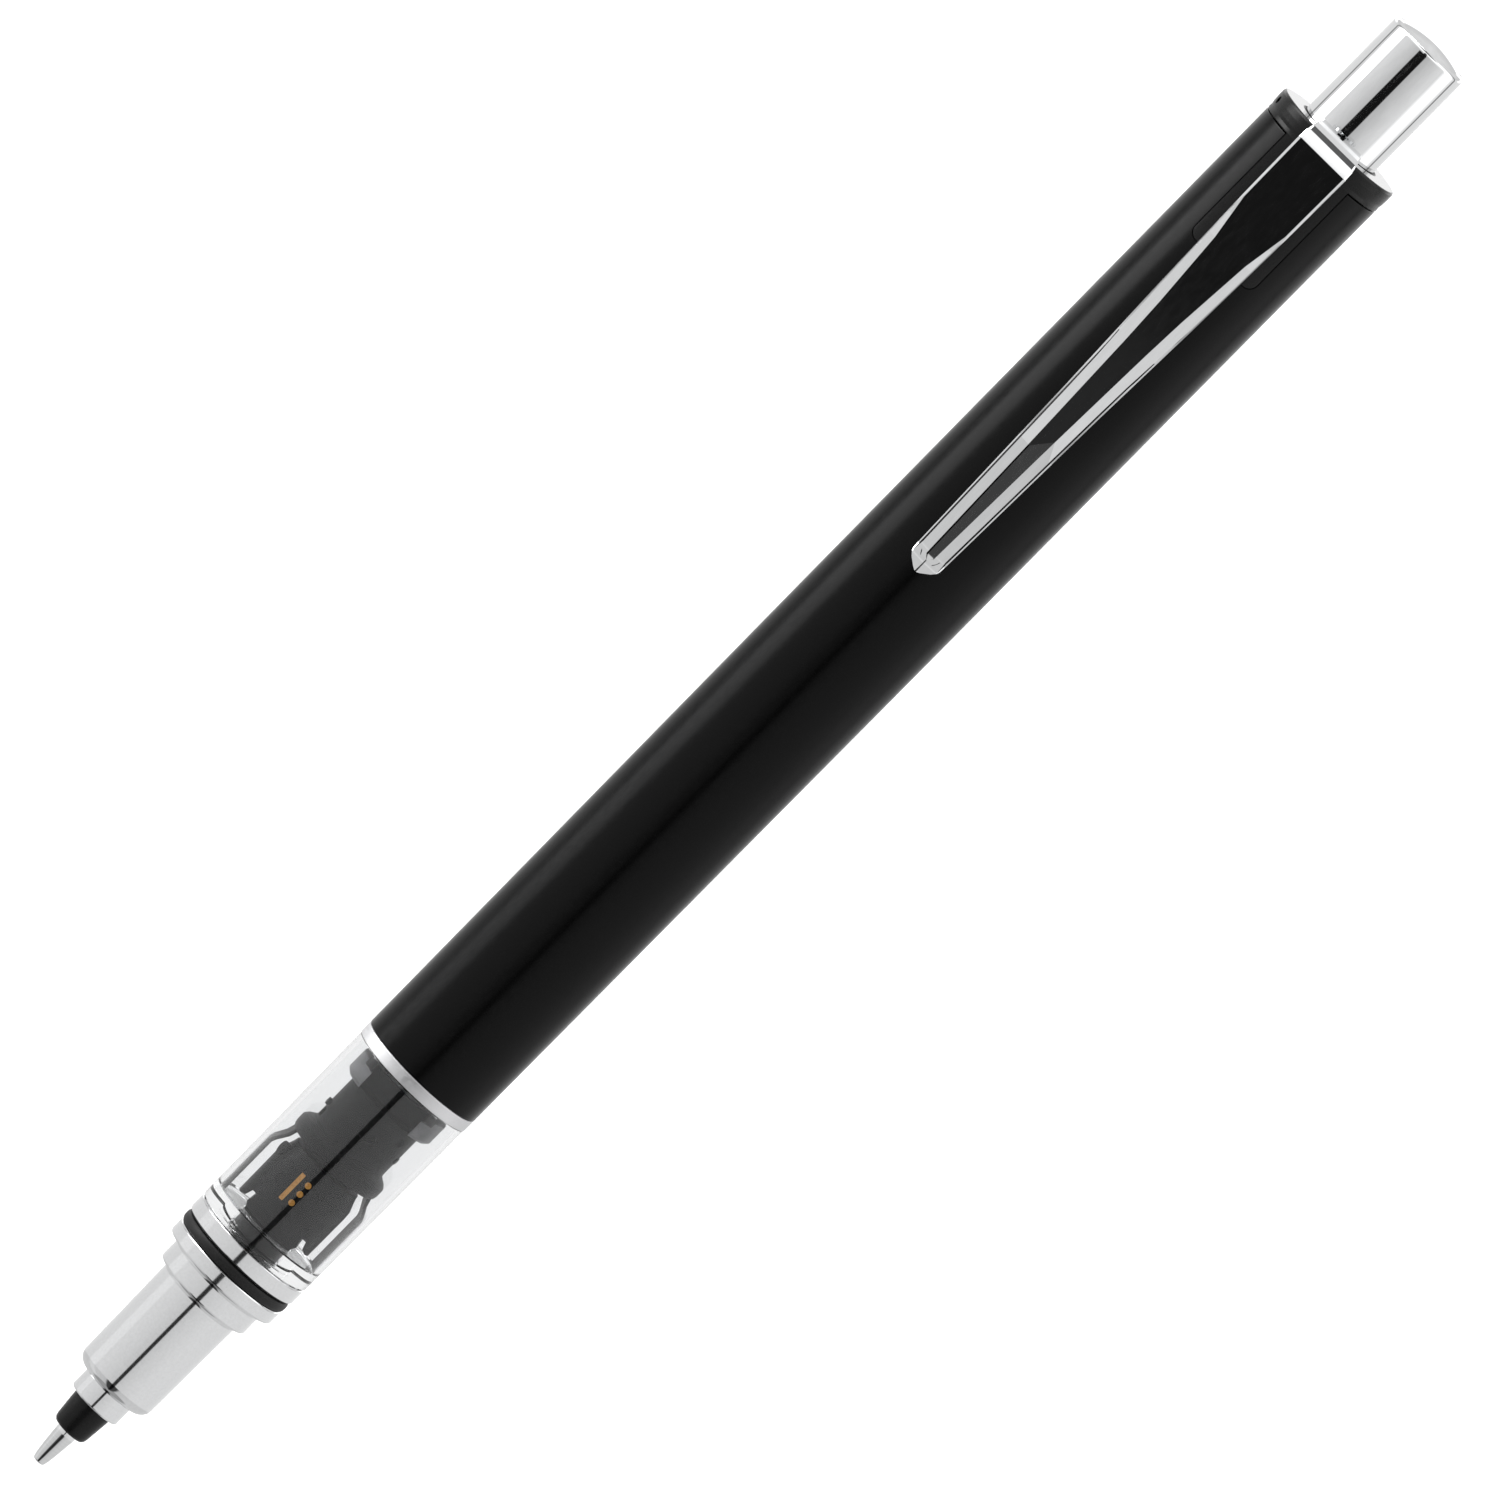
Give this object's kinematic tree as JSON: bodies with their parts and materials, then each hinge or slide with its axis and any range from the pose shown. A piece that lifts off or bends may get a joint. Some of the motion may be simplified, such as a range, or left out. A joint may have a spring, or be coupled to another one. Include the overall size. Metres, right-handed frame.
{
  "type": "mechanical pencil",
  "caption": "Slim mechanical pencil with a chrome nose, a clear front section showing its lead-turning engine, a black barrel, a pocket clip and a push button.",
  "frame": {"origin": "on the pencil's axis at the writing tip, in the plane of the sleeve's end", "axes": "+Z along the pencil from the writing tip to the push button; -Y towards the clip; +X to the right when the clip faces the viewer"},
  "size_m": [0.0108, 0.0131, 0.143],
  "materials": {
    "barrel_black": "satin black lacquer",
    "cap_black": "moulded black",
    "engine_grey": "moulded dark grey",
    "tank_grey": "moulded grey",
    "clear_plastic": "clear moulded plastic",
    "chrome": "bright plate, turned on the nose, polished on the clip and button",
    "silver": "pale satin plate",
    "steel": "drawn bright steel",
    "brass": "turned brass",
    "rubber_black": "matt black rubber",
    "graphite": "polymer graphite",
    "eraser_white": "matt white"
  },
  "bodies": {
    "barrel_assembly": {"barrel": "barrel_black", "clear_tube": "clear_plastic", "front_ring": "chrome", "silver_ring": "silver", "end_cap": "cap_black", "engine_frame": "engine_grey", "lower_cam": "engine_grey", "upper_cam": "engine_grey", "engine_spring": "steel"},
    "seal": {"o_ring": "rubber_black"},
    "nose": {"nose_cone": "chrome", "tip_piece": "cap_black"},
    "sleeve": {"lead_sleeve": "steel", "sleeve_slider": "engine_grey", "lead_brake": "rubber_black"},
    "lift": {"slip_ring": "engine_grey"},
    "rotor_group": {"rotor": "engine_grey", "indicator_drum": "engine_grey", "chuck_spring": "steel"},
    "feed_group": {"chuck": "brass", "feed_tube": "tank_grey", "lead_tank": "tank_grey", "eraser": "eraser_white", "spare_lead_1": "graphite", "spare_lead_2": "graphite", "spare_lead_3": "graphite"},
    "button": {"button_cap": "chrome"},
    "clutch_ring": {"chuck_ring": "brass"},
    "lead_in_use": {"lead": "graphite"},
    "clip_blade": {"clip": "chrome"}
  },
  "joints": [
    {"name": "nose_travel", "type": "slide", "parent": "barrel_assembly", "child": "seal", "axis": [0, 0, -1], "range_m": [0, 0.0045]},
    {"name": "nose_turn", "type": "hinge", "parent": "seal", "child": "nose", "pos_m": [0, 0, 0.02], "axis": [0, 0, -1], "range_deg": [0, 2160]},
    {"name": "sleeve_retract", "type": "slide", "parent": "nose", "child": "sleeve", "axis": [0, 0, 1], "range_m": [0, 0.0026]},
    {"name": "engine_lift", "type": "slide", "parent": "barrel_assembly", "child": "lift", "axis": [0, 0, 1], "range_m": [0, 0.0003], "stiffness_N_per_m": 200, "springref_m": -0.001, "deforming": ["engine_spring"]},
    {"name": "rotor_spin", "type": "hinge", "parent": "lift", "child": "rotor_group", "pos_m": [0, 0, 0.0136], "axis": [0, 0, 1], "continuous": true},
    {"name": "button_press", "type": "slide", "parent": "rotor_group", "child": "feed_group", "axis": [0, 0, -1], "range_m": [0, 0.003], "stiffness_N_per_m": 150, "springref_m": -0.003, "deforming": ["chuck_spring"]},
    {"name": "chuck_ring_slide", "type": "slide", "parent": "rotor_group", "child": "clutch_ring", "axis": [0, 0, -1], "range_m": [0, 0.0011]},
    {"name": "lead_feed", "type": "slide", "parent": "rotor_group", "child": "lead_in_use", "axis": [0, 0, -1], "range_m": [0, 0.0005]},
    {"name": "button_pull", "type": "slide", "parent": "feed_group", "child": "button", "axis": [0, 0, 1], "range_m": [0, 0.014]},
    {"name": "clip_flex", "type": "hinge", "parent": "barrel_assembly", "child": "clip_blade", "pos_m": [0, -0.0054, 0.1332], "axis": [-1, 0, 0], "range_deg": [0, 3.5], "stiffness_Nm_per_rad": 0.25}
  ],
  "couplings": [
    {"joint": "nose_turn", "follows": "nose_travel", "rad_per_m": 8377.6},
    {"joint": "chuck_ring_slide", "follows": "button_press", "ratio": 0.35},
    {"joint": "lead_feed", "follows": "button_press", "ratio": 0.16}
  ]
}
